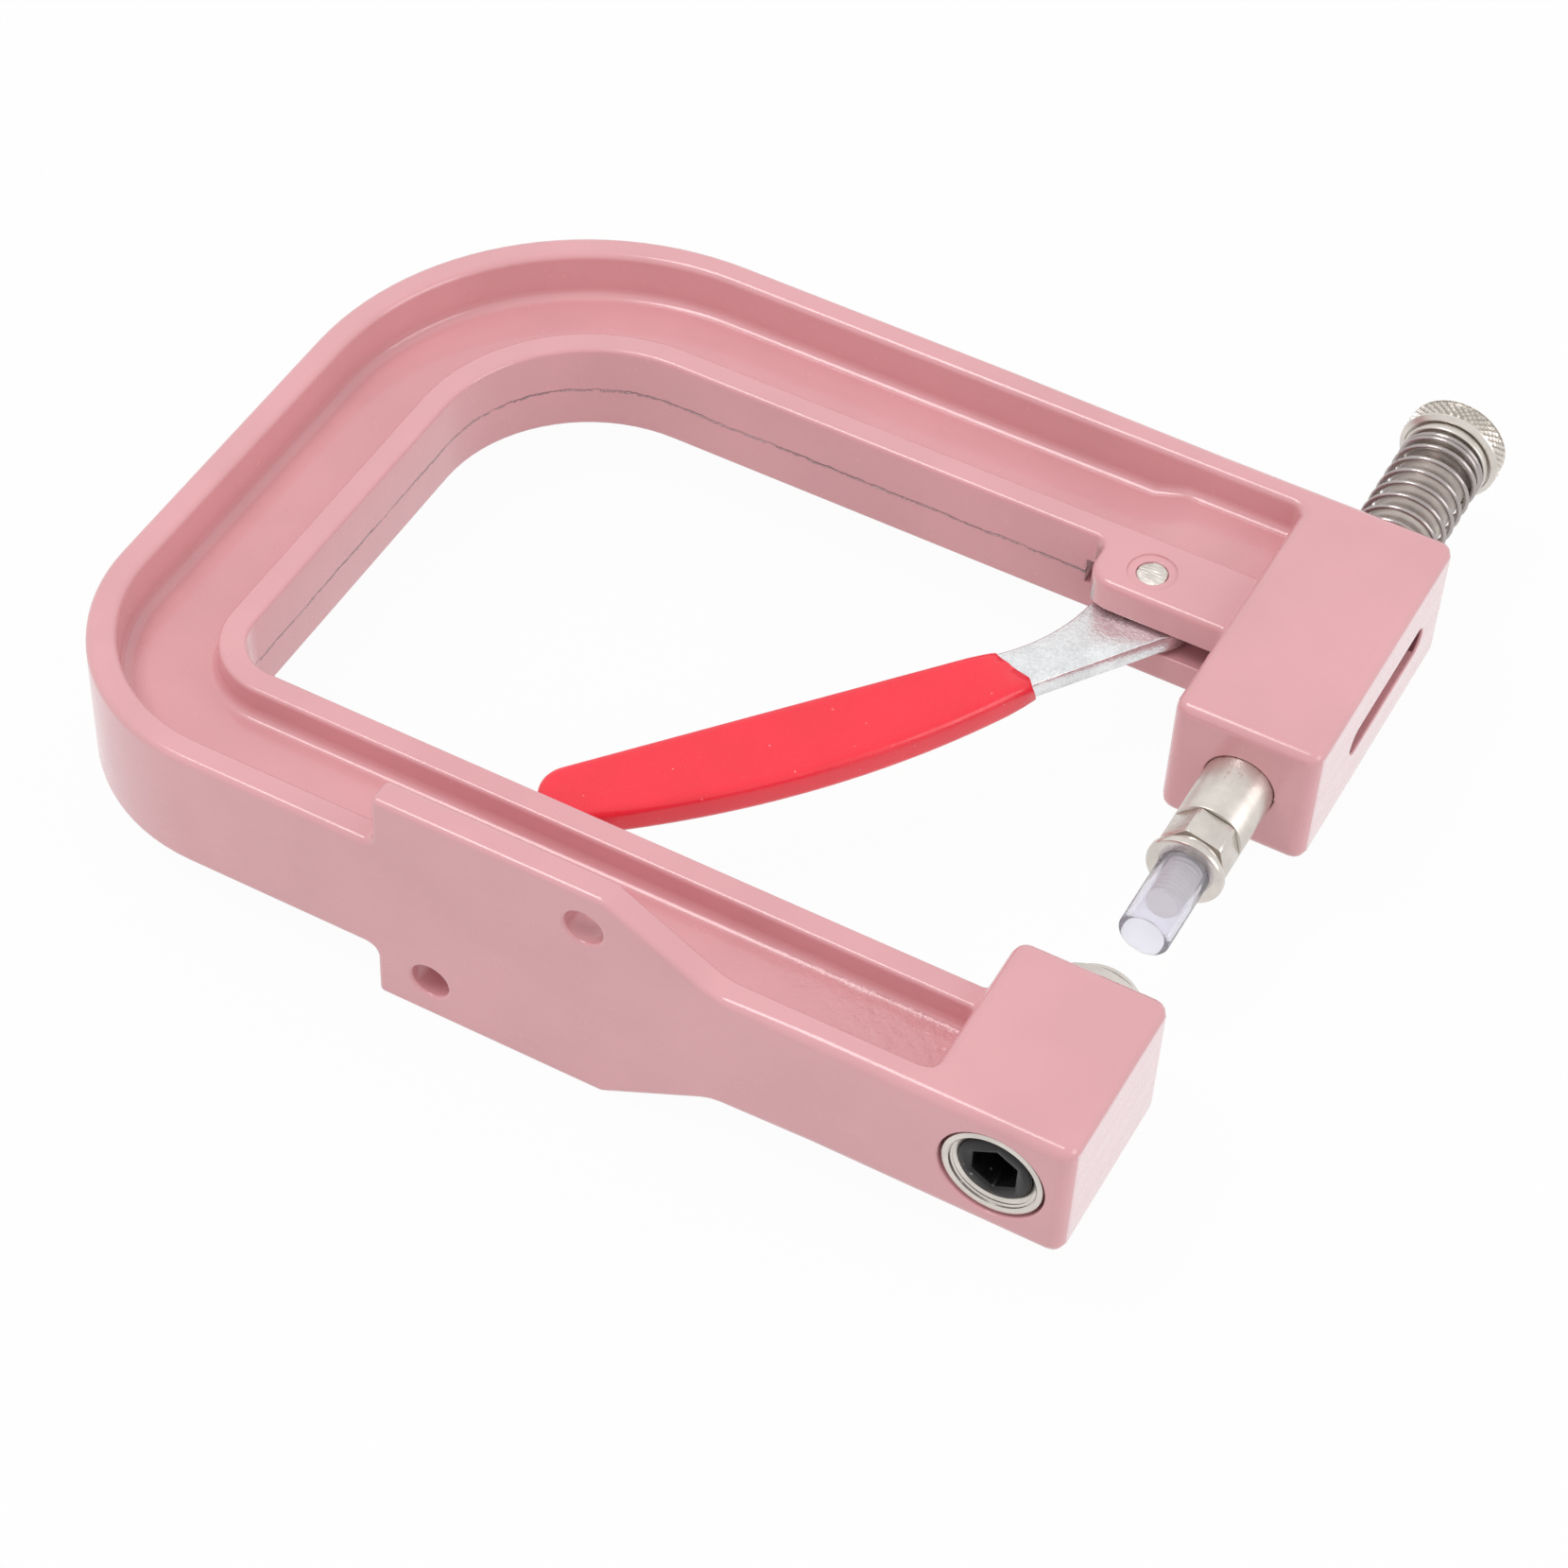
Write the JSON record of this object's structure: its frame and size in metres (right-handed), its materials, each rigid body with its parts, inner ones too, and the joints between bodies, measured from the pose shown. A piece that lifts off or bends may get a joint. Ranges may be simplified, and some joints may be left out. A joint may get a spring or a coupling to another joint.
{
  "type": "hand pearl setting press",
  "caption": "Hand press with a cast C frame, screw-down foot, sprung plunger with a clear pearl holder, anvil and a dipped lever, lying on its side.",
  "frame": {"origin": "on the foot's mounting face, midway between its two screw holes, in the frame's middle plane", "axes": "+X along the arms towards the open jaws, +Y from the foot up along the plunger to the knurled cap, +Z across the frame's thickness"},
  "size_m": [0.1552, 0.1505, 0.038],
  "materials": {
    "frame_coat": "gloss pink powder coat on a casting",
    "plated_steel": "satin nickel plate",
    "zinc_plate": "mottled zinc plate on stamped steel",
    "red_grip": "glossy dipped vinyl",
    "spring_steel": "bare spring wire",
    "clear_plastic": "clear moulded plastic",
    "dark_steel": "black oxide"
  },
  "bodies": {
    "press_frame": {"frame": "frame_coat", "pivot_pin": "plated_steel", "return_spring": "spring_steel", "anvil_sleeve": "plated_steel", "anvil_die": "dark_steel", "pin_spring": "spring_steel", "set_screw": "dark_steel"},
    "lever": {"lever_blade": "zinc_plate", "lever_grip": "red_grip"},
    "plunger": {"plunger_shaft": "plated_steel", "spring_washer": "plated_steel", "knurled_cap": "plated_steel", "die_holder": "plated_steel", "tube_collar": "plated_steel", "pearl_tube": "clear_plastic", "punch_stem": "dark_steel"},
    "pin": {"centring_pin": "plated_steel"}
  },
  "joints": [
    {"name": "lever_squeeze", "type": "hinge", "parent": "press_frame", "child": "lever", "pos_m": [0.0445, 0.0972, 0], "axis": [0, 0, -1], "range_deg": [0, 23.15]},
    {"name": "plunger_stroke", "type": "slide", "parent": "press_frame", "child": "plunger", "axis": [0, -1, 0], "range_m": [0, 0.01], "stiffness_N_per_m": 700, "springref_m": -0.006, "deforming": ["return_spring"]},
    {"name": "pin_sink", "type": "slide", "parent": "press_frame", "child": "pin", "axis": [0, -1, 0], "range_m": [0, 0.0014], "stiffness_N_per_m": 200, "springref_m": -0.002, "deforming": ["pin_spring"]}
  ],
  "couplings": [
    {"joint": "lever_squeeze", "follows": "plunger_stroke", "rad_per_m": 40.404}
  ]
}
